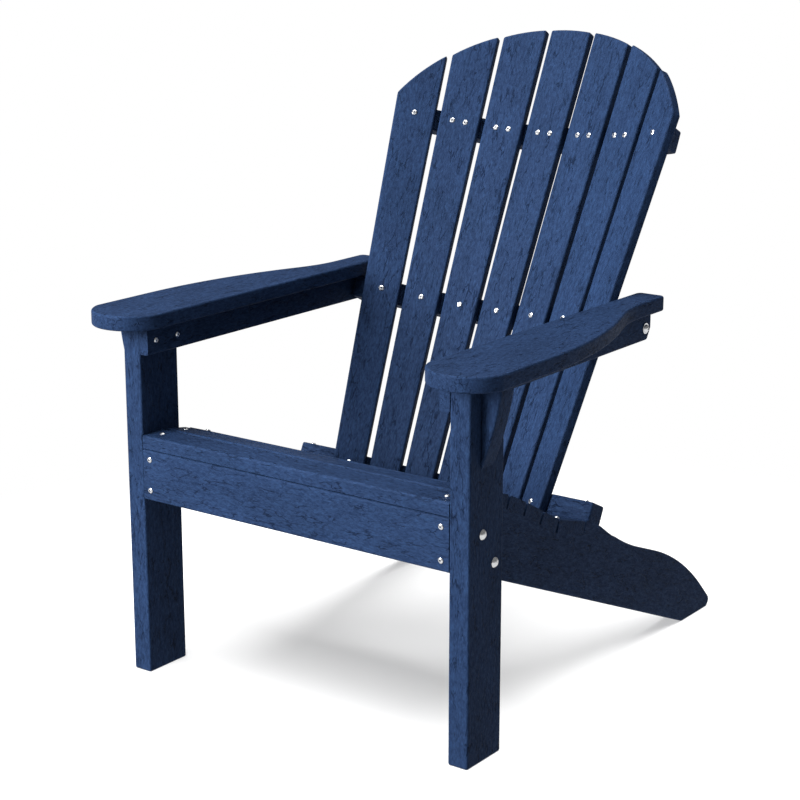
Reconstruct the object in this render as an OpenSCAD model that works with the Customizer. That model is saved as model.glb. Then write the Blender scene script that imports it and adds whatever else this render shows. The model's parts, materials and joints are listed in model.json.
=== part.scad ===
// Adirondack chair built from flat plastic-lumber boards.
// The chair faces -Y. The origin is on the floor, under the middle of its overall box.
// Inside the modules, y = 0 is the front face of the front legs; place() moves it to the origin.

/* [Front frame] */
// Overall width across the two front legs
frame_w = 600; // [520:1:720]
// Thickness of the legs and side stringers
board_t = 31.75; // [26:0.25:38]
// Width of a front leg, front to back
leg_d = 79; // [72:1:95]
// Height of the front legs, which is also the underside of the arms
leg_h = 525.5; // [470:0.5:630]
// Height of the apron board's lower edge
apron_z = 269.5; // [240:0.5:300]
// Height of the apron board itself
apron_h = 77; // [65:1:90]
// Thickness of the apron board
apron_t = 16; // [13:0.5:19]

/* [Seat] */
// Thickness of the seat slats
seat_t = 19; // [15:0.5:23]
// Width of an ordinary seat slat
seat_slat_w = 44; // [36:0.5:53]
// Width of the rear seat slat
rear_slat_w = 74; // [62:1:78]
// Gap between neighbouring seat slats
seat_gap = 4.6; // [3:0.1:6]

/* [Back] */
// Distance of the outermost back slats' feet behind the rear edge of the seat
back_behind = 12.95; // [10:0.05:24]
// Height of the back's foot, on the centre line of the lower rail, above the rear edge of the seat
back_above = 1.55; // [-2:0.05:6]
// Recline of the back from upright, in degrees
recline = 26.1; // [22:0.1:28]
// Distance from the lower rail up to the top of the centre slat
crown_s = 744; // [700:1:890]
// Distance from the top of the centre slat down to the upper rail, along the back
upper_drop = 172; // [150:1:220]
// Length of the slats below the centre line of the lower rail
foot_s = 10; // [6:0.5:11]
// Turn from each back slat to the next, in degrees
slat_angle = 8.434; // [7.5:0.001:9]
// How much wider the back is at the upper rail than at the lower rail, as a ratio
fan_out = 1.289; // [1.2:0.001:1.35]
// Room between the back and the inner face of each leg, around the curve of the lower rail
back_room = 65.25; // [62:0.25:80]
// Gap between neighbouring back slats
slat_gap = 8.6; // [6:0.1:10.3]
// Thickness of the back slats
slat_t = 16; // [13.5:0.5:19]
// Fall of the arch from the top of the centre slat to the edges of the back
arch_drop = 154.4; // [130:0.1:175]
// Height of the back rails
rail_h = 35; // [30:1:42]
// Depth of the back rails behind the slats
rail_d = 31; // [26:1:36]
// How far the upper rail runs on past the middle of the outermost slat
upper_past = 24.9; // [15:0.1:34]

/* [Arms] */
// Thickness of the arms
arm_t = 22; // [18:0.5:27]
// Greatest width of an arm
arm_w = 115.5; // [105:0.5:138]
// Width of an arm at its rear end
arm_tail_w = 46; // [40:0.5:55]
// How far an arm reaches inside the inner face of its leg
arm_inset = 34; // [28:0.5:36]
// How far an arm reaches in front of the legs
arm_nose = 45; // [37.5:0.5:54]
// How far an arm runs on behind its rail
arm_past = 22.5; // [14:0.5:40]
// Height of the arm rails
arm_rail_h = 40.5; // [35:0.5:48.5]
// Thickness of the arm rails
arm_rail_t = 16; // [13.5:0.5:19]
// How far an arm rail runs on behind its lag screw
arm_rail_past = 15.8; // [12:0.1:24]
// Height of the bracket under each arm
bracket_h = 117; // [97:1:141]
// Width of the bracket at its top
bracket_w = 31.5; // [26:0.5:38]

/* [Hardware] */
// Diameter of a screw's head
screw_head_d = 8; // [7:0.1:9.6]
// Diameter of a screw's shank
screw_d = 4; // [3.4:0.1:4.8]
// Diameter of a carriage bolt
bolt_d = 8; // [6.5:0.5:9.5]
// Diameter of a carriage bolt's domed head
bolt_head_d = 14.5; // [12:0.5:17.5]
// Diameter of the lag screws that hold the middle rail
lag_d = 6; // [5:0.5:7]
// Diameter of the lag screws' washers
lag_washer_d = 16; // [14:0.5:19]
// Room between a fastener and its hole, on the diameter
hole_clear = 0.3; // [0.1:0.05:0.5]

/* [Hidden] */

fine = 128;
round_fn = 48;
far = 1000;
// Straight steps in a small corner and in a long sweep
corner_steps = 8;
sweep_steps = 16;
nose_steps = 32;
navy = [0.20, 0.28, 0.44];
steel = [0.80, 0.81, 0.83];

// Places across the chair
inner_x = frame_w / 2 - board_t;
stringer_in_x = inner_x - board_t;

// Outline helpers: an arc that starts at p, leaves along heading and turns by an angle
function dir(a) = [cos(a), sin(a)];
function arc_centre(p, heading, r, turn) = p + r * dir(heading + sign(turn) * 90);
function arc_point(p, heading, r, turn, f) =
    arc_centre(p, heading, r, turn) - r * dir(heading + f * turn + sign(turn) * 90);
function arc(p, heading, r, turn, n) = [for (i = [1 : n]) arc_point(p, heading, r, turn, i / n)];

// Seat: a chain of flat slats, front to rear. Tilt is each slat's fall towards the rear, in degrees
seat_tilts = [0, 10, 20, 27, 29, 29, 17];
seat_count = len(seat_tilts);
seat_widths = [for (i = [1 : seat_count]) i == seat_count ? rear_slat_w : seat_slat_w];
seat_top_z = apron_z + apron_h;
function seat_step(i) = (seat_widths[i] + (i == 0 ? seat_gap / 2 : seat_gap)) * dir(-seat_tilts[i]);
// Middle of the gap in front of slat i, halfway up the slats' thickness
function seat_knot(i) = i == 0 ? [0, seat_top_z + seat_t / 2] : seat_knot(i - 1) + seat_step(i - 1);
// The same place on the top edge of the stringers
function stringer_knot(i) =
    let (mean = (seat_tilts[i - 1] + seat_tilts[i]) / 2, half = (seat_tilts[i] - seat_tilts[i - 1]) / 2)
    seat_knot(i) - seat_t / 2 / cos(half) * dir(90 - mean);

// Back: slats lie on a cone whose radius grows along the back. Index k runs from -3 to 3
back_half = 3;
seat_end = seat_knot(seat_count - 1) + (seat_gap / 2 + rear_slat_w) * dir(-seat_tilts[seat_count - 1]);
// Distance between the slats' centre lines at the lower rail, and the back's hollow at both rails
slat_pitch = (inner_x - back_room) / (back_half + 1 / 2);
low_r = slat_pitch / slat_angle * 180 / PI;
top_r = low_r * fan_out;
top_s = crown_s - upper_drop;
back_turn = back_half * slat_angle;
// How far the middle of the back lies behind its outermost slats, at the lower rail
hollow = low_r * (1 - cos(back_turn));
back_y = seat_end[0] + back_behind + hollow * cos(recline);
back_z = seat_end[1] + back_above;
spread = (top_r - low_r) / top_s;
upper_half = top_r * sin(back_turn) + upper_past;
arch_half = (back_half + 1 / 2) * slat_pitch * fan_out;
arch_r = (pow(arch_half, 2) + pow(arch_drop, 2)) / 2 / arch_drop;
fan_len = low_r / spread;
function radius_at(s) = low_r + spread * s;
function slat_w_at(s) = slat_pitch * radius_at(s) / low_r - slat_gap;
function slat_rise(k) = spread * (1 - cos(k * slat_angle));
function slat_lean(k) = atan(spread * sin(k * slat_angle) / sqrt(1 + pow(slat_rise(k), 2)));
function slat_stretch(k) = sqrt(1 + pow(slat_rise(k), 2) + pow(spread * sin(k * slat_angle), 2));
// A point in the back's own frame, as [y, z] of the chair
function back_point(depth, s) =
    [back_y + depth * cos(recline) + s * sin(recline), back_z - depth * sin(recline) + s * cos(recline)];

// Straight ends of the middle and lower rails, a little behind the face of the outermost slats
ear_set = 2.3;
ear_front = ear_set - hollow;
ear_rear = 1;
ear_mid = (ear_front + ear_rear) / 2;
// The ends start this far inside the place where the curve's rear face meets theirs
ear_tuck = 11;
ear_inner = sqrt(pow(low_r + slat_t + rail_d, 2) - pow(low_r + ear_rear, 2)) - ear_tuck;
// How far a curved rail stands in front of the flats that are cut in it for the slats
rail_lip = 1;
// How far a curved rail runs into its straight ends
end_lap = 2;
// How far the flats for neighbouring slats run over each other
flat_overlap = 2;
rail_notch = 7;
shoulder_gap = 1;
// The middle rail's ends stop this far below the arms
arm_gap = 0.8;
arm_rail_mid_z = leg_h - arm_rail_h / 2;
mid_s = (leg_h - arm_gap - back_z + ear_front * sin(recline)) / cos(recline) - rail_h / 2;
// How far the notch runs on behind the lower rail
notch_run = 2;

// Side stringer: the tail behind the lower rail, and its heel
tail_angle = 31.8;
tail_straight = 56;
tail_hollow_r = 450;
tail_flat_angle = 21.2;
tail_flat = 51;
tail_hump_r = 458;
tail_end_angle = 45;
heel_r = 11;
sole_angle = 23;
tail_start = back_point(ear_rear + notch_run, rail_notch - rail_h / 2);
// The tail's lengths and radii above are those of a tail that falls this far to this height
tail_fall = 188.2;
tail_end_z = 42;
tail_size = (tail_start[1] - tail_end_z) / tail_fall;
tail_a = tail_start + tail_straight * tail_size * dir(-tail_angle);
tail_hollow_turn = tail_angle - tail_flat_angle;
tail_hollow = arc(tail_a, -tail_angle, tail_hollow_r * tail_size, tail_hollow_turn, corner_steps);
tail_b = tail_hollow[len(tail_hollow) - 1] + tail_flat * tail_size * dir(-tail_flat_angle);
tail_turn = tail_flat_angle - tail_end_angle;
tail_hump = arc(tail_b, -tail_flat_angle, tail_hump_r * tail_size, tail_turn, sweep_steps);
tail_c = tail_hump[len(tail_hump) - 1];
// The heel's circle touches the floor and the line that runs down from the tail
heel_rise = tail_c[1] - heel_r - heel_r * cos(tail_end_angle);
heel_top = [tail_c[0] + heel_rise / tan(tail_end_angle), tail_c[1] - heel_rise];
heel_turn = tail_end_angle - 180;
heel = arc(heel_top, -tail_end_angle, heel_r, heel_turn, sweep_steps);
heel_y = heel_top[0] + heel_r * (1 - sin(tail_end_angle));
sole_y = apron_t + apron_z / tan(sole_angle);

origin_y = (heel_y - arm_nose) / 2;

// The lag screw sits off the middle of the rail's end, as [depth, height along the back]
lag_offset = [2, 4];
lag_at = back_point(ear_mid + lag_offset[0], mid_s + lag_offset[1]);
arm_rail_end = lag_at[0] + arm_rail_past;
arm_end = arm_rail_end + arm_past;

// Arms: the inner edge keeps clear of the outermost slat as high as the arm's top
arm_clear = 2;
arm_top_s = (leg_h + arm_t - back_z) / cos(recline);
back_edge_x = (radius_at(arm_top_s) + slat_t) * sin(back_turn) + slat_w_at(arm_top_s) / 2 * cos(back_turn);
arm_in_x = max(inner_x - arm_inset, back_edge_x + arm_clear);
arm_out_x = arm_in_x + arm_w;
arm_tail_x = arm_in_x + arm_tail_w;
// The sweep of the outer edge behind the legs, which leaves a straight tail
sweep_drop = arm_w - arm_tail_w;
sweep_start = 110;
sweep_tail = 70.4;
sweep_angle = 2 * atan(sweep_drop / (arm_end - sweep_tail - sweep_start));
// Two arcs share the drop and the length of the sweep
sweep_sum = sweep_drop / (1 - cos(sweep_angle));
sweep_share = 0.78;
sweep_r1 = sweep_sum * sweep_share;
sweep_r2 = sweep_sum - sweep_r1;
arm_corner_r = 9;
nose_half = arm_w / 2;
nose_r = (pow(nose_half, 2) + pow(arm_nose, 2)) / 2 / arm_nose;

// Fasteners
head_t = 2;
// The head is a straight rim with a cone on it
head_rim_t = 0.9;
head_taper = 0.62;
drive_d = 3.2;
drive_depth = 2.4;
// How far a screw's hole runs on past its head, out of the boards
hole_reach = 60;
tip_len = 5;
tip_d = 0.6;
bolt_head_t = 4;
nut_af = 13;
nut_t = 6.5;
washer_t = 1.6;
bolt_washer_d = 18;
// A bolt stands this far through its nut
bolt_stand = 2;
lag_head_d = 12;
lag_head_t = 4.5;
lag_drive_d = 4.8;
seat_screw_len = 38;
slat_screw_len = 35;
rail_screw_len = 58;
side_screw_len = 36;
arm_screw_len = 40;
bracket_screw_len = 46;
lag_len = 52;
// A lag screw's hole is this much deeper than the screw
hole_end = 1;
seat_screw_inset = 18.2;
apron_screw_inset = 12.6;
apron_screw_edge = 15.5;
pair_half = 11;
arm_rail_screw_half = 22.5;
arm_rail_screw_y = [leg_d / 2 - arm_rail_screw_half, leg_d / 2 + arm_rail_screw_half];
arm_screw_y = [120, 260, 400];
arm_screw_seat = 15;
bracket_screw_half = 9;
bracket_screw_z = [arm_rail_mid_z - bracket_screw_half, arm_rail_mid_z + bracket_screw_half];
// Each leg bolt as [y, height above the apron's lower edge]
leg_bolt_offsets = [[31.3, 50.8], [60, 5]];
leg_bolt_at = [for (o = leg_bolt_offsets) [o[0], apron_z + o[1]]];
lower_rail_screw_half = 9;
lower_rail_screw_depths = [ear_mid - lower_rail_screw_half, ear_mid + lower_rail_screw_half];

// ---- Frames -------------------------------------------------------------------------------------

module place() {
    translate([0, -origin_y, 0]) children();
}

// side is 1 for the sitter's left and -1 for the right
module on_side(side) {
    if (side > 0) children();
    else mirror([1, 0, 0]) children();
}

module both_sides() {
    for (side = [1, -1]) on_side(side) children();
}

// The back's frame: z runs up the centre slat's face, y points to the rear
module in_back() {
    translate([0, back_y, back_z]) rotate([-recline, 0, 0]) children();
}

// Frame of back slat k: x across its face, z along it, y into the board
module in_slat(k) {
    a = k * slat_angle;
    in_back()
        translate([low_r * sin(a), -low_r * (1 - cos(a)), 0])
            rotate([0, 0, -a])
                rotate([-atan(slat_rise(k)), 0, 0])
                    rotate([0, slat_lean(k), 0])
                        children();
}

// Frame of seat slat i: its top face is z = 0, its front edge is y = 0
module in_seat_slat(i) {
    knot = seat_knot(i);
    start = i == 0 ? 0 : seat_gap / 2;
    translate([0, knot[0], knot[1]]) rotate([-seat_tilts[i], 0, 0]) translate([0, start, seat_t / 2])
        children();
}

// An outline drawn in y and z, as a board between two x planes
module side_board(x0, x1) {
    translate([x0, 0, 0]) rotate([90, 0, 90]) linear_extrude(x1 - x0) children();
}

// ---- Fasteners ----------------------------------------------------------------------------------

// A pan-head screw that runs down from z = 0, with its head above
module screw(len) {
    difference() {
        union() {
            cylinder(d = screw_head_d, h = head_rim_t, $fn = round_fn);
            translate([0, 0, head_rim_t])
                cylinder(d1 = screw_head_d, d2 = screw_head_d * head_taper, h = head_t - head_rim_t,
                    $fn = round_fn);
            translate([0, 0, tip_len - len]) cylinder(d = screw_d, h = len - tip_len, $fn = round_fn);
            translate([0, 0, -len]) cylinder(d1 = tip_d, d2 = screw_d, h = tip_len, $fn = round_fn);
        }
        translate([0, 0, head_t - drive_depth]) cylinder(d = drive_d, h = far, $fn = 6);
    }
}

// The hole that a screw of this length needs
module screw_hole(len) {
    translate([0, 0, -len - hole_clear])
        cylinder(d = screw_d + hole_clear, h = len + hole_reach, $fn = round_fn);
}

// The wider hole that a sunk screw head needs
module counterbore() {
    cylinder(d = screw_head_d + hole_clear, h = hole_reach, $fn = round_fn);
}

module apron_screw_places() {
    both_sides()
        for (z = [apron_screw_edge, apron_h - apron_screw_edge])
            translate([inner_x - apron_screw_inset, 0, apron_z + z]) rotate([90, 0, 0]) children();
}

module seat_screw_places(i) {
    in_seat_slat(i)
        both_sides() translate([inner_x - seat_screw_inset, seat_slat_w / 2, 0]) children();
}

// Screws through the back slats into the rail that is s along the back
module slat_screw_places(k, s, pair) {
    in_slat(k)
        for (u = pair ? [-pair_half, pair_half] : [0])
            translate([u * cos(slat_lean(k)), 0, s * slat_stretch(k) + u * sin(slat_lean(k))])
                rotate([90, 0, 0]) children();
}

module upper_screw_places(k) {
    slat_screw_places(k, top_s, abs(k) < back_half) children();
}

module lower_rail_screw_places() {
    in_back()
        both_sides()
            for (depth = lower_rail_screw_depths)
                translate([inner_x - board_t / 2, depth, rail_h / 2]) children();
}

module arm_rail_screw_places() {
    both_sides()
        for (y = arm_rail_screw_y)
            translate([inner_x - arm_rail_t, y, arm_rail_mid_z]) rotate([0, -90, 0]) children();
}

// These run up through the arm rails, from the bottom of a counterbore
module arm_screw_places() {
    both_sides()
        for (y = arm_screw_y)
            translate([inner_x - arm_rail_t / 2, y, leg_h - arm_rail_h + arm_screw_seat])
                rotate([180, 0, 0]) children();
}

// These run out through the legs, behind the arm rails, with their heads let in
module bracket_screw_places() {
    both_sides()
        for (z = bracket_screw_z)
            translate([inner_x + head_t, leg_d / 2, z]) rotate([0, -90, 0]) children();
}

module leg_bolt_places() {
    both_sides()
        for (p = leg_bolt_at)
            translate([frame_w / 2, p[0], p[1]]) rotate([0, 90, 0]) children();
}

module lag_places() {
    both_sides() translate([inner_x, lag_at[0], lag_at[1]]) rotate([0, 90, 0]) children();
}

module bolt_hole(d, len) {
    translate([0, 0, -len]) cylinder(d = d + hole_clear, h = len + far, $fn = round_fn);
}

// A low dome of diameter d and height h, standing on z = 0
module dome(d, h) {
    r = (d * d / 4 + h * h) / 2 / h;
    intersection() {
        translate([0, 0, h - r]) sphere(r = r, $fn = fine);
        cylinder(d = d, h = h, $fn = round_fn);
    }
}

// ---- Front frame --------------------------------------------------------------------------------

module front_leg(side) {
    difference() {
        on_side(side) translate([inner_x, 0, 0]) cube([board_t, leg_d, leg_h]);
        arm_rail_screw_places() screw_hole(side_screw_len);
        bracket_screw_places() screw_hole(bracket_screw_len);
        bracket_screw_places() counterbore();
        leg_bolt_places() bolt_hole(bolt_d, 3 * board_t);
    }
}

// Outline of a stringer in y and z, from the front over the seat and down the tail
module stringer_outline() {
    last = seat_count - 1;
    rear = seat_knot(last) + (seat_gap / 2 + rear_slat_w + shoulder_gap) * dir(-seat_tilts[last]);
    shoulder_dir = dir(90 - seat_tilts[last]);
    foot = rear - seat_t / 2 * shoulder_dir;
    ledge_dir = dir(-recline);
    // The shoulder rises until it meets the line on which the lower rail's notch is cut
    reach = tail_start - foot;
    cross_ledge = ledge_dir[0] * shoulder_dir[1] - ledge_dir[1] * shoulder_dir[0];
    rise = (ledge_dir[0] * reach[1] - ledge_dir[1] * reach[0]) / cross_ledge;
    polygon(concat(
        [[apron_t, apron_z], [apron_t, seat_top_z]],
        [for (i = [1 : last]) stringer_knot(i)],
        [foot, foot + rise * shoulder_dir, tail_start, tail_a],
        tail_hollow, [tail_b], tail_hump, [heel_top], heel, [[sole_y, 0]]));
}

module side_stringer(side) {
    difference() {
        on_side(side) side_board(stringer_in_x, inner_x) stringer_outline();
        rail_ends(0, inner_x);
        for (i = [0 : seat_count - 1]) seat_screw_places(i) screw_hole(seat_screw_len);
        apron_screw_places() screw_hole(seat_screw_len);
        lower_rail_screw_places() screw_hole(rail_screw_len);
        leg_bolt_places() bolt_hole(bolt_d, 3 * board_t);
    }
}

module front_apron() {
    difference() {
        translate([-inner_x, 0, apron_z]) cube([2 * inner_x, apron_t, apron_h]);
        apron_screw_places() screw_hole(seat_screw_len);
    }
}

// ---- Seat ---------------------------------------------------------------------------------------

module seat_slat(i) {
    difference() {
        in_seat_slat(i)
            translate([-inner_x, 0, -seat_t]) cube([2 * inner_x, seat_widths[i], seat_t]);
        seat_screw_places(i) screw_hole(seat_screw_len);
    }
}

// ---- Back ---------------------------------------------------------------------------------------

// Outline of slat k in its own face: a taper cut by the arch that runs across all the slats
module back_slat_outline(k) {
    centre = fan_len + crown_s - arch_r;
    fan = k * slat_angle * spread;
    low = -foot_s;
    high = crown_s + slat_t;
    intersection() {
        polygon([[-slat_w_at(low) / 2, low], [slat_w_at(low) / 2, low],
            [slat_w_at(high) / 2, high], [-slat_w_at(high) / 2, high]]);
        union() {
            translate([-centre * sin(fan), centre * cos(fan) - fan_len]) circle(r = arch_r, $fn = fine);
            translate([-far / 2, low - far]) square([far, far + mid_s]);
        }
    }
}

module back_slat(k) {
    difference() {
        in_slat(k) translate([0, slat_t, 0]) rotate([90, 0, 0]) linear_extrude(slat_t) back_slat_outline(k);
        upper_screw_places(k) screw_hole(slat_screw_len);
        slat_screw_places(k, mid_s, false) screw_hole(slat_screw_len);
        slat_screw_places(k, 0, false) screw_hole(slat_screw_len);
    }
}

// The room in front of a rail that the slats take up: one flat for each slat
module slat_flats(s) {
    half = slat_pitch * radius_at(s) / low_r / 2 + flat_overlap;
    for (k = [-back_half : back_half]) {
        // The outermost flats run on outwards, so that nothing of the curve stands in front of the ends
        from = k == -back_half ? -far : -half;
        to = k == back_half ? far : half;
        in_slat(k)
            translate([from, -far, (s - rail_h) * slat_stretch(k)])
                cube([to - from, far + slat_t, 2 * rail_h]);
    }
}

// The curved part of a rail at height s, as long as half each way
module curved_rail(s, half) {
    r = radius_at(s);
    in_back()
        difference() {
            intersection() {
                translate([0, -r, s - rail_h / 2])
                    cylinder(r = r + slat_t + rail_d, h = rail_h, $fn = fine);
                translate([-half, -r, s - rail_h / 2]) cube([2 * half, far, rail_h]);
            }
            translate([0, -r, s - rail_h]) cylinder(r = r + slat_t - rail_lip, h = 2 * rail_h, $fn = fine);
        }
}

// The straight ends of a rail at height s, which reach out to x = half
module rail_ends(s, half) {
    in_back()
        both_sides()
            translate([ear_inner, ear_front, s - rail_h / 2])
                cube([half - ear_inner, ear_rear - ear_front, rail_h]);
}

module rail_with_ends(s, half) {
    // The curve's rear face meets the rear face of the straight ends, and runs on into them
    r = radius_at(s);
    curved_rail(s, sqrt(pow(r + slat_t + rail_d, 2) - pow(r + ear_rear, 2)) + end_lap);
    rail_ends(s, half);
}

module back_rail_upper() {
    difference() {
        curved_rail(top_s, upper_half);
        slat_flats(top_s);
        for (k = [-back_half : back_half]) upper_screw_places(k) screw_hole(slat_screw_len);
    }
}

module back_rail_middle() {
    difference() {
        rail_with_ends(mid_s, inner_x - arm_rail_t);
        slat_flats(mid_s);
        for (k = [-back_half : back_half]) slat_screw_places(k, mid_s, false) screw_hole(slat_screw_len);
        lag_places() bolt_hole(lag_d, lag_len);
    }
}

module back_rail_lower() {
    difference() {
        rail_with_ends(0, inner_x);
        slat_flats(0);
        for (k = [-back_half : back_half]) slat_screw_places(k, 0, false) screw_hole(slat_screw_len);
        lower_rail_screw_places() screw_hole(rail_screw_len);
    }
}

// ---- Arms ---------------------------------------------------------------------------------------

// Outline of the left arm in x and y
module arm_outline() {
    nose_turn = 4 * atan(arm_nose / nose_half);
    nose_heading = -90 + (180 - nose_turn) / 2;
    sweep_a = [arm_out_x, sweep_start];
    sweep_1 = arc(sweep_a, 90, sweep_r1, sweep_angle, sweep_steps);
    sweep_2 = arc(sweep_1[sweep_steps - 1], 90 + sweep_angle, sweep_r2, -sweep_angle, corner_steps);
    tail_y = arm_end - arm_corner_r;
    polygon(concat(
        [[arm_in_x, 0]],
        arc([arm_in_x, 0], nose_heading, nose_r, nose_turn, nose_steps),
        [sweep_a], sweep_1, sweep_2,
        [[arm_tail_x, tail_y]],
        arc([arm_tail_x, tail_y], 90, arm_corner_r, 90, corner_steps),
        [[arm_in_x + arm_corner_r, arm_end]],
        arc([arm_in_x + arm_corner_r, arm_end], 180, arm_corner_r, 90, corner_steps)));
}

module arm(side) {
    difference() {
        on_side(side) translate([0, 0, leg_h]) linear_extrude(arm_t) arm_outline();
        arm_screw_places() screw_hole(arm_screw_len);
    }
}

module arm_rail(side) {
    // The rear lower corner is cut off
    cut_y = 10.5;
    cut_z = 18;
    low = leg_h - arm_rail_h;
    difference() {
        on_side(side)
            side_board(inner_x - arm_rail_t, inner_x)
                polygon([[0, low], [0, leg_h], [arm_rail_end, leg_h],
                    [arm_rail_end, low + cut_z], [arm_rail_end - cut_y, low]]);
        arm_rail_screw_places() screw_hole(side_screw_len);
        arm_screw_places() screw_hole(arm_screw_len);
        arm_screw_places() counterbore();
        lag_places() bolt_hole(lag_d, lag_len);
    }
}

// A wedge-shaped board against the outer face of the leg, with a bowed outer edge
module arm_bracket(side) {
    bow = 4;
    chord = norm([bracket_w, bracket_h]);
    bow_r = (chord * chord / 4 + bow * bow) / 2 / bow;
    bow_turn = 2 * asin(chord / 2 / bow_r);
    chord_heading = atan2(bracket_h, bracket_w);
    difference() {
        on_side(side)
            translate([frame_w / 2, (leg_d + board_t) / 2, leg_h - bracket_h])
                rotate([90, 0, 0]) linear_extrude(board_t)
                    polygon(concat([[0, bracket_h], [0, 0]],
                        arc([0, 0], chord_heading - bow_turn / 2, bow_r, bow_turn, sweep_steps)));
        bracket_screw_places() screw_hole(bracket_screw_len);
    }
}

// ---- Fastener groups ----------------------------------------------------------------------------

module apron_screws() {
    apron_screw_places() screw(seat_screw_len);
}

module seat_screws() {
    for (i = [0 : seat_count - 1]) seat_screw_places(i) screw(seat_screw_len);
}

module back_screws_upper() {
    for (k = [-back_half : back_half]) upper_screw_places(k) screw(slat_screw_len);
}

module back_screws_row(s) {
    for (k = [-back_half : back_half]) slat_screw_places(k, s, false) screw(slat_screw_len);
}

module lower_rail_screws() {
    lower_rail_screw_places() screw(rail_screw_len);
}

module arm_rail_screws() {
    arm_rail_screw_places() screw(side_screw_len);
}

module arm_screws() {
    arm_screw_places() screw(arm_screw_len);
}

module bracket_screws() {
    bracket_screw_places() screw(bracket_screw_len);
}

module leg_bolts() {
    grip = 2 * board_t + washer_t + nut_t + bolt_stand;
    leg_bolt_places() {
        dome(bolt_head_d, bolt_head_t);
        translate([0, 0, -grip]) cylinder(d = bolt_d, h = grip, $fn = round_fn);
    }
}

module leg_bolt_washers() {
    leg_bolt_places()
        translate([0, 0, -2 * board_t - washer_t])
            difference() {
                cylinder(d = bolt_washer_d, h = washer_t, $fn = round_fn);
                translate([0, 0, -washer_t])
                    cylinder(d = bolt_d + hole_clear, h = 3 * washer_t, $fn = round_fn);
            }
}

module leg_bolt_nuts() {
    leg_bolt_places()
        translate([0, 0, -2 * board_t - washer_t - nut_t])
            difference() {
                cylinder(d = nut_af / cos(30), h = nut_t, $fn = 6);
                translate([0, 0, -nut_t])
                    cylinder(d = bolt_d + hole_clear, h = 3 * nut_t, $fn = round_fn);
            }
}

module arm_lag_screws() {
    lag_places()
        difference() {
            union() {
                translate([0, 0, washer_t]) dome(lag_head_d, lag_head_t);
                translate([0, 0, -lag_len + hole_end])
                    cylinder(d = lag_d, h = lag_len + washer_t, $fn = round_fn);
            }
            translate([0, 0, washer_t + lag_head_t / 2]) cylinder(d = lag_drive_d, h = far, $fn = 6);
        }
}

module arm_lag_washers() {
    lag_places()
        difference() {
            cylinder(d = lag_washer_d, h = washer_t, $fn = round_fn);
            translate([0, 0, -washer_t])
                cylinder(d = lag_d + hole_clear, h = 3 * washer_t, $fn = round_fn);
        }
}

// ---- Drawing ------------------------------------------------------------------------------------

module board() {
    color(navy) place() children();
}

module metal() {
    color(steel) place() children();
}

board() front_leg(1);  // front_leg_left
board() front_leg(-1);  // front_leg_right
board() side_stringer(1);  // side_stringer_left
board() side_stringer(-1);  // side_stringer_right
board() front_apron();
board() seat_slat(0);  // seat_slat_1
board() seat_slat(1);  // seat_slat_2
board() seat_slat(2);  // seat_slat_3
board() seat_slat(3);  // seat_slat_4
board() seat_slat(4);  // seat_slat_5
board() seat_slat(5);  // seat_slat_6
board() seat_slat(6);  // seat_slat_7
board() back_slat(-3);  // back_slat_1
board() back_slat(-2);  // back_slat_2
board() back_slat(-1);  // back_slat_3
board() back_slat(0);  // back_slat_4
board() back_slat(1);  // back_slat_5
board() back_slat(2);  // back_slat_6
board() back_slat(3);  // back_slat_7
board() back_rail_upper();
board() back_rail_middle();
board() back_rail_lower();
board() arm(1);  // arm_left
board() arm(-1);  // arm_right
board() arm_rail(1);  // arm_rail_left
board() arm_rail(-1);  // arm_rail_right
board() arm_bracket(1);  // arm_bracket_left
board() arm_bracket(-1);  // arm_bracket_right
metal() apron_screws();
metal() seat_screws();
metal() back_screws_upper();
metal() back_screws_row(mid_s);  // back_screws_middle
metal() back_screws_row(0);  // back_screws_lower
metal() lower_rail_screws();
metal() arm_rail_screws();
metal() arm_screws();
metal() bracket_screws();
metal() leg_bolts();
metal() leg_bolt_washers();
metal() leg_bolt_nuts();
metal() arm_lag_screws();
metal() arm_lag_washers();
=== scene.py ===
"""Looks of the adirondack chair: grained plastic-lumber boards with eased edges, and stainless hardware."""

import json
import math

import bmesh
import bpy
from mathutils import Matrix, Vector

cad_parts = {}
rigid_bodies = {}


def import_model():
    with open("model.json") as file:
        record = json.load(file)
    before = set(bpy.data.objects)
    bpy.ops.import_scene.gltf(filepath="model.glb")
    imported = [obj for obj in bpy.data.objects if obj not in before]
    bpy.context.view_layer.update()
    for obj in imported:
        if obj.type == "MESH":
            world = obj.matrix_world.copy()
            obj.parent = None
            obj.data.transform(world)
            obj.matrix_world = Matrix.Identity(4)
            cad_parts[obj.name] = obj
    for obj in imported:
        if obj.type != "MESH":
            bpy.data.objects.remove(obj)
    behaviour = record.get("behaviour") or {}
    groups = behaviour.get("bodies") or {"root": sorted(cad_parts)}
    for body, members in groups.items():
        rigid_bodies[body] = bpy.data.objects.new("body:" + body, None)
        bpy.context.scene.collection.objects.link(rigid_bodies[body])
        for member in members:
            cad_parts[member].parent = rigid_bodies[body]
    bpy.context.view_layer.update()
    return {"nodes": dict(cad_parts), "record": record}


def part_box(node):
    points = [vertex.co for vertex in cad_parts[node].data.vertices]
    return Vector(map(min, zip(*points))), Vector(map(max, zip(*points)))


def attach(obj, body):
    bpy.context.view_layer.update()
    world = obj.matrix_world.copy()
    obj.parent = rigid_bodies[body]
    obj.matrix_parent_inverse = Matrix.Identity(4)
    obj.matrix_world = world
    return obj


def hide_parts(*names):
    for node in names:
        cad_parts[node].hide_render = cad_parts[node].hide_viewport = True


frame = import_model()
nodes = frame["nodes"]

SLOTS = {s["node"]: s["material_slot"] for s in frame["record"]["subparts"]}
BOARDS = sorted(n for n in nodes if SLOTS[n] == "lumber")
METAL = sorted(n for n in nodes if SLOTS[n] != "lumber")

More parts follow.
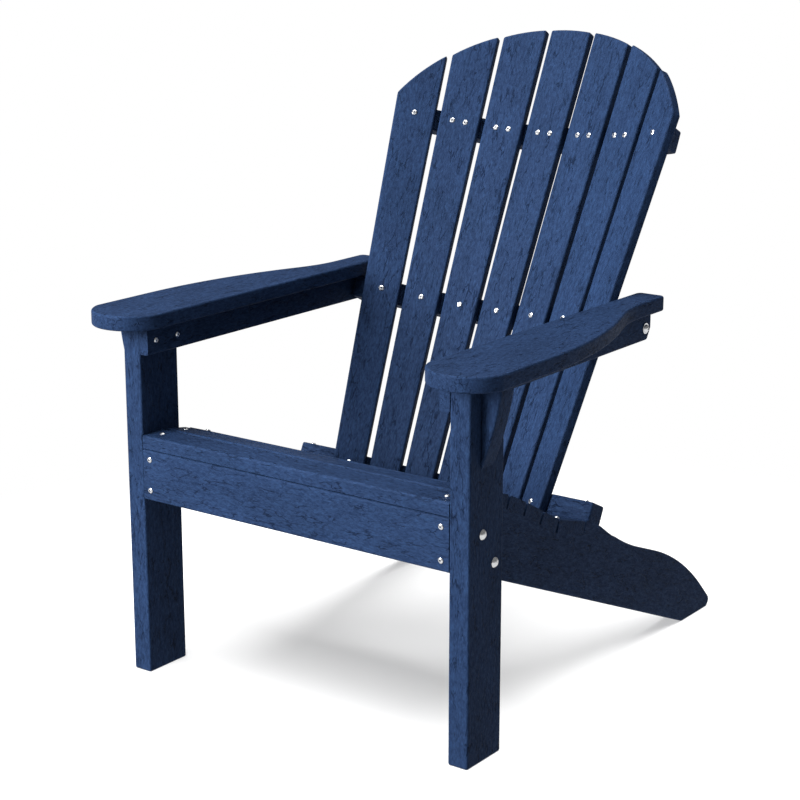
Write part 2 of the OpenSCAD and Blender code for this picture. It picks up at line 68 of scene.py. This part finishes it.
# ---- Boards with eased edges ---------------------------------------------------------------------

# Width of an eased edge, and how many steps it is rounded in
EASE = 0.0030
EASE_STEPS = 3
# An edge that turns more than SHARP is eased, and one that still turns more than CREASE shades as an edge
SHARP = math.radians(28)
CREASE = math.radians(40)
# Neighbouring faces that turn less than this lie in one plane
FLAT = math.radians(0.35)
# Stands for the angle to a face that has no normal, so it never counts as flat
NO_ANGLE = 9
WELD = 1e-6
SPECK = 1e-7
# A loop shorter than this around is a fastener's hole
HOLE_RIM = 0.05
# A face whose normal rises this much is a top, and an edge this much along the grain runs lengthwise
LEVEL = 0.8
LENGTHWISE = 0.8
# Open joint between the apron and the first seat slat
SEAM = 0.0016
# Boards whose sawn ends stay crisp
SAWN = ("seat_slat", "front_apron", "arm_rail")
# Lean of the back, fall of the stringers, and the sideways lean from each back slat to the next
RECLINE = math.radians(26.1)
SLOPE = math.radians(23)
FAN = math.radians(1.68)


def direction(node):
    """The way the grain of a board runs."""
    if node.startswith("back_slat"):
        middle = (len([n for n in BOARDS if n.startswith("back_slat")]) + 1) / 2
        lean = (int(node.split("_")[-1]) - middle) * FAN
        return Vector((math.sin(lean), math.sin(RECLINE), math.cos(RECLINE))).normalized()
    if node.startswith("side_stringer"):
        return Vector((0, math.cos(SLOPE), -math.sin(SLOPE)))
    if node.startswith(("seat_slat", "front_apron", "back_rail")):
        return Vector((1, 0, 0))
    if node.startswith(("front_leg", "arm_bracket")):
        return Vector((0, 0, 1))
    return Vector((0, 1, 0))


def regions(bm):
    """Groups of faces that lie in one plane."""
    seen = set()
    for face in bm.faces:
        if face in seen:
            continue
        group, stack = [], [face]
        seen.add(face)
        while stack:
            f = stack.pop()
            group.append(f)
            for e in f.edges:
                for g in e.link_faces:
                    if g not in seen and g.normal.angle(face.normal, NO_ANGLE) < FLAT:
                        seen.add(g)
                        stack.append(g)
        yield group


def border_loops(group):
    """The loops of vertices round a group, each in the direction of its faces."""
    inside = set(group)
    follow = {}
    for f in group:
        for loop in f.loops:
            others = [g for g in loop.edge.link_faces if g is not f]
            if not others or others[0] not in inside:
                follow.setdefault(loop.vert, []).append(loop.link_loop_next.vert)
    loops = []
    while follow:
        start = next(iter(follow))
        path, here = [start], start
        while True:
            there = follow[here].pop()
            if not follow[here]:
                del follow[here]
            if there is start or there not in follow:
                break
            path.append(there)
            here = there
        loops.append(path)
    return loops


def perimeter(path):
    return sum((a.co - b.co).length for a, b in zip(path, path[1:] + path[:1]))


def largest_shell(bm):
    """Drops what isn't joined to the largest shell, such as the walls of the screw holes."""
    seen, shells = set(), []
    for v in bm.verts:
        if v in seen:
            continue
        shell, stack = [], [v]
        seen.add(v)
        while stack:
            w = stack.pop()
            shell.append(w)
            for e in w.link_edges:
                other = e.other_vert(w)
                if other not in seen:
                    seen.add(other)
                    stack.append(other)
        shells.append(shell)

    def spread(shell):
        return sum(max(v.co[i] for v in shell) - min(v.co[i] for v in shell) for i in range(3))

    keep = set(max(shells, key=spread))
    bmesh.ops.delete(bm, geom=[v for v in bm.verts if v not in keep], context="VERTS")


def plain_board(node):
    """The flat faces of a CAD board, without its fasteners' holes."""
    src = bmesh.new()
    src.from_mesh(nodes[node].data)
    bmesh.ops.remove_doubles(src, verts=src.verts, dist=WELD)
    bmesh.ops.dissolve_degenerate(src, edges=src.edges, dist=SPECK)
    src.normal_update()
    out = bmesh.new()
    made = {}
    for group in regions(src):
        loops = [p for p in border_loops(group) if len(p) > 2]
        if not loops:
            continue
        outer = max(loops, key=perimeter)
        if len(loops) == 1 or all(perimeter(p) < HOLE_RIM for p in loops if p is not outer):
            faces = [outer]
        else:
            faces = [list(f.verts) for f in group]
        for path in faces:
            verts = []
            for v in path:
                if v not in made:
                    made[v] = out.verts.new(v.co)
                verts.append(made[v])
            if out.faces.get(verts) is None:
                out.faces.new(verts)
    src.free()
    largest_shell(out)
    return out


def edges_to_ease(out, node):
    """The edges of a board that are eased: not its sawn ends, nor where it lies on a neighbour."""
    sharp = [e for e in out.edges if len(e.link_faces) == 2 and e.calc_face_angle(0) > SHARP]
    if node.startswith(SAWN):
        grain = direction(node)
        sharp = [e for e in sharp
                 if abs((e.verts[0].co - e.verts[1].co).normalized().dot(grain)) > LENGTHWISE]
    if node.startswith("seat_slat"):
        sharp = [e for e in sharp if max(f.normal.z for f in e.link_faces) > LEVEL]
    if node.startswith("side_stringer"):
        seat_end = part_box("back_rail_lower")[1][1]
        sharp = [e for e in sharp
                 if e.verts[0].co.y > seat_end or max(f.normal.z for f in e.link_faces) < LEVEL]
    return sharp


def board(node):
    """A copy of a CAD board without its fasteners' holes and with eased edges. It stands for the node."""
    out = plain_board(node)
    if node == "front_apron":
        top = max(v.co.z for v in out.verts)
        for v in out.verts:
            if v.co.z > top - EASE:
                v.co.z -= SEAM
    bmesh.ops.recalc_face_normals(out, faces=out.faces)
    # Marks the eased faces, where the lumber material paints a highlight
    eased_faces = out.faces.layers.float.new("eased")
    eased = bmesh.ops.bevel(out, geom=edges_to_ease(out, node), offset=EASE, offset_type="OFFSET",
                            segments=EASE_STEPS, profile=0.5, affect="EDGES", clamp_overlap=False)
    for f in eased["faces"]:
        f[eased_faces] = 1.0
    bmesh.ops.recalc_face_normals(out, faces=out.faces)
    for f in out.faces:
        f.smooth = True
    for e in out.edges:
        e.smooth = not (len(e.link_faces) == 2 and e.calc_face_angle(0) > CREASE)
    mesh = bpy.data.meshes.new(node + "_board")
    out.to_mesh(mesh)
    out.free()
    piece = bpy.data.objects.new(node + "_board", mesh)
    bpy.context.scene.collection.objects.link(piece)
    weighted = piece.modifiers.new("flat_faces", "WEIGHTED_NORMAL")
    weighted.keep_sharp = True
    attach(piece, "root")
    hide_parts(node)
    return piece


# ---- Materials -----------------------------------------------------------------------------------

def noise(tree, vector, scale, detail, rough, distortion=0.0):
    n = tree.nodes.new("ShaderNodeTexNoise")
    n.inputs["Scale"].default_value = scale
    n.inputs["Detail"].default_value = detail
    n.inputs["Roughness"].default_value = rough
    n.inputs["Distortion"].default_value = distortion
    tree.links.new(vector, n.inputs["Vector"])
    return n.outputs["Fac"]


def ramp(tree, fac, stops):
    r = tree.nodes.new("ShaderNodeValToRGB")
    band = r.color_ramp
    band.elements[0].position, band.elements[0].color = stops[0][0], (*stops[0][1], 1)
    band.elements[1].position, band.elements[1].color = stops[-1][0], (*stops[-1][1], 1)
    for place, colour in stops[1:-1]:
        band.elements.new(place).color = (*colour, 1)
    tree.links.new(fac, r.inputs["Fac"])
    return r.outputs["Color"]


def mix(tree, kind, fac, a, b):
    m = tree.nodes.new("ShaderNodeMix")
    m.data_type = "RGBA"
    m.blend_type = kind
    for socket, value in ((m.inputs[0], fac), (m.inputs[6], a), (m.inputs[7], b)):
        if hasattr(value, "is_linked"):
            tree.links.new(value, socket)
        else:
            socket.default_value = value if isinstance(value, float) else (*value, 1)
    return m.outputs[2]


def maths(tree, op, a, b):
    m = tree.nodes.new("ShaderNodeMath")
    m.operation = op
    for socket, value in zip(m.inputs, (a, b)):
        if hasattr(value, "is_linked"):
            tree.links.new(value, socket)
        else:
            socket.default_value = value
    return m.outputs[0]


def grey(v):
    return (v, v, v)


# Colours of the lumber: its middle, dark and pale tones, its cracks, darkened partly with painted shade,
# and the painted highlight on its eased edges
NAVY = (0.0108, 0.0222, 0.0552)
DEEP = (0.0062, 0.0144, 0.0385)
PALE = (0.0138, 0.0310, 0.0755)
CRACK_TONE_AND_SHADE = (0.0016, 0.0040, 0.0120)
EDGE_HIGHLIGHT = (0.020, 0.042, 0.100)


def lumber(name, along, seed):
    """Coloured plastic lumber with an embossed, finely cracked grain that runs along a board."""
    mat = bpy.data.materials.new(name)
    mat.use_nodes = True
    tree = mat.node_tree
    shader = tree.nodes["Principled BSDF"]
    place = tree.nodes.new("ShaderNodeTexCoord").outputs["Object"]
    turn = along.to_track_quat("X", "Z").to_euler()

    def grain_space(stretch):
        m = tree.nodes.new("ShaderNodeMapping")
        m.vector_type = "TEXTURE"
        m.inputs["Location"].default_value = (0.37 * seed, 0.19 * seed, -0.23 * seed)
        m.inputs["Rotation"].default_value = turn
        m.inputs["Scale"].default_value = (stretch, 1, 1)
        tree.links.new(place, m.inputs["Vector"])
        return m.outputs["Vector"]

    def wavy(vector, scale, amount):
        """The same space, pushed about by a noise so that lines in it waver."""
        n = tree.nodes.new("ShaderNodeTexNoise")
        n.inputs["Scale"].default_value = scale
        n.inputs["Detail"].default_value = 3.0
        tree.links.new(vector, n.inputs["Vector"])
        centred = tree.nodes.new("ShaderNodeVectorMath")
        centred.operation = "SUBTRACT"
        centred.inputs[1].default_value = (0.5, 0.5, 0.5)
        tree.links.new(n.outputs["Color"], centred.inputs[0])
        scaled = tree.nodes.new("ShaderNodeVectorMath")
        scaled.operation = "SCALE"
        scaled.inputs["Scale"].default_value = amount
        tree.links.new(centred.outputs[0], scaled.inputs[0])
        total = tree.nodes.new("ShaderNodeVectorMath")
        total.operation = "ADD"
        tree.links.new(vector, total.inputs[0])
        tree.links.new(scaled.outputs[0], total.inputs[1])
        return total.outputs[0]

    cells = tree.nodes.new("ShaderNodeTexVoronoi")
    cells.feature = "DISTANCE_TO_EDGE"
    cells.inputs["Scale"].default_value = 105.0
    tree.links.new(wavy(grain_space(4.2), 150.0, 0.012), cells.inputs["Vector"])
    where = noise(tree, grain_space(3.0), 75.0, 2.0, 0.6)
    crack = ramp(tree, cells.outputs["Distance"], [(0.010, grey(1.0)), (0.055, grey(0.0))])
    broken = ramp(tree, where, [(0.46, grey(0.0)), (0.60, grey(1.0))])
    crack = maths(tree, "MULTIPLY", crack, broken)

    mottle = noise(tree, grain_space(2.6), 300.0, 4.0, 0.66, 0.5)
    pits = noise(tree, grain_space(4.5), 900.0, 3.0, 0.65)
    cloud = noise(tree, grain_space(3.0), 22.0, 3.0, 0.55)

    tone = ramp(tree, mottle, [(0.32, DEEP), (0.50, NAVY), (0.70, PALE)])
    shade = ramp(tree, cloud, [(0.30, grey(0.88)), (0.70, grey(1.12))])
    tone = mix(tree, "MULTIPLY", 1.0, tone, shade)
    speck = ramp(tree, pits, [(0.36, grey(0.82)), (0.64, grey(1.16))])
    tone = mix(tree, "MULTIPLY", 1.0, tone, speck)
    # The cracks are darkened in the colour: partly the grain's own dark, partly painted shade in the sunk
    # cracks
    tone = mix(tree, "MIX", maths(tree, "MULTIPLY", crack, 0.72), tone, CRACK_TONE_AND_SHADE)
    # Painted highlight: the eased edges are lightened in patches, as if they caught the light
    eased_faces = tree.nodes.new("ShaderNodeAttribute")
    eased_faces.attribute_name = "eased"
    painted_highlight = maths(tree, "MULTIPLY", eased_faces.outputs["Fac"], maths(tree, "MULTIPLY", cloud, 0.15))
    tone = mix(tree, "MIX", painted_highlight, tone, EDGE_HIGHLIGHT)
    tree.links.new(tone, shader.inputs["Base Color"])

    rough = ramp(tree, mottle, [(0.30, grey(0.62)), (0.70, grey(0.46))])
    tree.links.new(rough, shader.inputs["Roughness"])
    shader.inputs["IOR"].default_value = 1.5
    shader.inputs["Specular IOR Level"].default_value = 0.02

    raised = maths(tree, "MULTIPLY", mottle, 0.7)
    sunk = maths(tree, "MULTIPLY", crack, 0.6)
    height = maths(tree, "SUBTRACT", raised, sunk)
    coarse = tree.nodes.new("ShaderNodeBump")
    coarse.inputs["Strength"].default_value = 0.60
    coarse.inputs["Distance"].default_value = 0.0014
    tree.links.new(height, coarse.inputs["Height"])
    fine = tree.nodes.new("ShaderNodeBump")
    fine.inputs["Strength"].default_value = 0.35
    fine.inputs["Distance"].default_value = 0.0005
    tree.links.new(pits, fine.inputs["Height"])
    tree.links.new(coarse.outputs["Normal"], fine.inputs["Normal"])
    tree.links.new(fine.outputs["Normal"], shader.inputs["Normal"])
    return mat


def stainless():
    """Satin stainless steel with fine handling marks."""
    mat = bpy.data.materials.new("stainless")
    mat.use_nodes = True
    tree = mat.node_tree
    shader = tree.nodes["Principled BSDF"]
    place = tree.nodes.new("ShaderNodeTexCoord").outputs["Object"]
    haze = noise(tree, place, 420.0, 3.0, 0.6)
    marks = noise(tree, place, 2600.0, 2.0, 0.6)
    tree.links.new(ramp(tree, haze, [(0.3, (0.62, 0.63, 0.65)), (0.7, (0.84, 0.85, 0.86))]),
                   shader.inputs["Base Color"])
    tree.links.new(ramp(tree, marks, [(0.3, grey(0.20)), (0.7, grey(0.36))]), shader.inputs["Roughness"])
    shader.inputs["Metallic"].default_value = 1.0
    bump = tree.nodes.new("ShaderNodeBump")
    bump.inputs["Strength"].default_value = 0.12
    bump.inputs["Distance"].default_value = 0.0002
    tree.links.new(marks, bump.inputs["Height"])
    tree.links.new(bump.outputs["Normal"], shader.inputs["Normal"])
    return mat


for number, node in enumerate(BOARDS):
    piece = board(node)
    piece.data.materials.append(lumber("lumber_" + node, direction(node), number + 1))

steel = stainless()
for node in METAL:
    thing = nodes[node]
    if not thing.material_slots:
        thing.data.materials.append(steel)
    for material_slot in thing.material_slots:
        material_slot.material = steel

# ---- Floor, light and camera ---------------------------------------------------------------------

REACH = 30.0
# The floor's glow as the camera sees it and as the chair does, and where it takes over from lit floor
GLOW_SEEN = 1.0
GLOW_FELT = 0.90
GLOW_NEAR = 0.5
FADE_START = 0.55
FADE_END = 1.1
# Brightness of the sky as a light and as a backdrop
SKY_LIGHT = 0.20
SKY_SEEN = 1.0

floor_mesh = bpy.data.meshes.new("floor")
corners = [(-REACH, -REACH, 0), (REACH, -REACH, 0), (REACH, REACH, 0), (-REACH, REACH, 0)]
floor_mesh.from_pydata(corners, [], [(0, 1, 2, 3)])
floor = bpy.data.objects.new("floor", floor_mesh)
bpy.context.scene.collection.objects.link(floor)
# To the camera the floor is partly lit and shadowed near the chair, and further out it is an even white
# sweep. To every other ray it is an even glow, so what the chair gets from it doesn't depend on the shadow.
pale = bpy.data.materials.new("pale_floor")
pale.use_nodes = True
sweep = pale.node_tree
near = sweep.nodes["Principled BSDF"]
near.inputs["Base Color"].default_value = (0.93, 0.93, 0.93, 1)
near.inputs["Roughness"].default_value = 0.9
near.inputs["Specular IOR Level"].default_value = 0.0
far = sweep.nodes.new("ShaderNodeEmission")
seen = sweep.nodes.new("ShaderNodeLightPath")
glow = sweep.nodes.new("ShaderNodeMapRange")
glow.inputs["To Min"].default_value = GLOW_FELT
glow.inputs["To Max"].default_value = GLOW_SEEN
sweep.links.new(seen.outputs["Is Camera Ray"], glow.inputs["Value"])
sweep.links.new(glow.outputs["Result"], far.inputs["Strength"])
spot = sweep.nodes.new("ShaderNodeTexCoord")
span = sweep.nodes.new("ShaderNodeVectorMath")
span.operation = "LENGTH"
sweep.links.new(spot.outputs["Object"], span.inputs[0])
fade = sweep.nodes.new("ShaderNodeMapRange")
fade.interpolation_type = "SMOOTHSTEP"
fade.inputs["From Min"].default_value = FADE_START
fade.inputs["From Max"].default_value = FADE_END
fade.inputs["To Min"].default_value = GLOW_NEAR
sweep.links.new(span.outputs["Value"], fade.inputs["Value"])
blend = sweep.nodes.new("ShaderNodeMixShader")
unseen = sweep.nodes.new("ShaderNodeMath")
unseen.operation = "SUBTRACT"
unseen.inputs[0].default_value = 1.0
sweep.links.new(seen.outputs["Is Camera Ray"], unseen.inputs[1])
even = sweep.nodes.new("ShaderNodeMath")
even.operation = "MAXIMUM"
sweep.links.new(fade.outputs["Result"], even.inputs[0])
sweep.links.new(unseen.outputs["Value"], even.inputs[1])
sweep.links.new(even.outputs["Value"], blend.inputs["Fac"])
sweep.links.new(near.outputs["BSDF"], blend.inputs[1])
sweep.links.new(far.outputs["Emission"], blend.inputs[2])
sweep.links.new(blend.outputs["Shader"], sweep.nodes["Material Output"].inputs["Surface"])
floor_mesh.materials.append(pale)

world = bpy.data.worlds.new("studio")
world.use_nodes = True
sky = world.node_tree
sky.nodes["Background"].inputs["Color"].default_value = (1, 1, 1, 1)
ray = sky.nodes.new("ShaderNodeLightPath")
level = sky.nodes.new("ShaderNodeMapRange")
level.inputs["To Min"].default_value = SKY_LIGHT
level.inputs["To Max"].default_value = SKY_SEEN
sky.links.new(ray.outputs["Is Camera Ray"], level.inputs["Value"])
sky.links.new(level.outputs["Result"], sky.nodes["Background"].inputs["Strength"])
bpy.context.scene.world = world
bpy.context.scene.view_settings.view_transform = "Standard"


def softbox(name, at, target, size, power, lights_only):
    """A round soft light at a place, aimed at a target, that lights only the things in a collection."""
    data = bpy.data.lights.new(name, "AREA")
    data.shape = "DISK"
    data.size = size
    data.energy = power
    lamp = bpy.data.objects.new(name, data)
    lamp.location = at
    lamp.rotation_euler = (Vector(target) - Vector(at)).to_track_quat("-Z", "Y").to_euler()
    bpy.context.scene.collection.objects.link(lamp)
    lamp.light_linking.receiver_collection = lights_only


# The key and the top light only the chair, and the wash only the floor, where it leaves the soft shadow
chair_only = bpy.data.collections.new("chair_only")
for thing in list(bpy.context.scene.objects):
    if thing.type == "MESH" and thing is not floor:
        chair_only.objects.link(thing)
floor_only = bpy.data.collections.new("floor_only")
floor_only.objects.link(floor)
softbox("key", (-1.5, -3.3, 1.7), (0, 0, 0.40), 2.2, 435, chair_only)
softbox("top", (-0.45, 0.1, 3.3), (-0.05, 0, 0.3), 3.6, 180, chair_only)
softbox("wash", (0.15, -0.55, 3.2), (0, 0, 0), 4.2, 490, floor_only)

# The camera looks down by CAMERA_FALL, from the chair's front left
CAMERA_FALL = 14.842
CAMERA_TURN = 36.19
lens = bpy.data.cameras.new("camera")
lens.lens = 89.08
lens.sensor_width = 36
camera = bpy.data.objects.new("camera", lens)
camera.location = (1.6464, -2.3381, 1.1435)
camera.rotation_euler = (math.radians(90 - CAMERA_FALL), 0, math.radians(CAMERA_TURN))
bpy.context.scene.collection.objects.link(camera)
bpy.context.scene.camera = camera
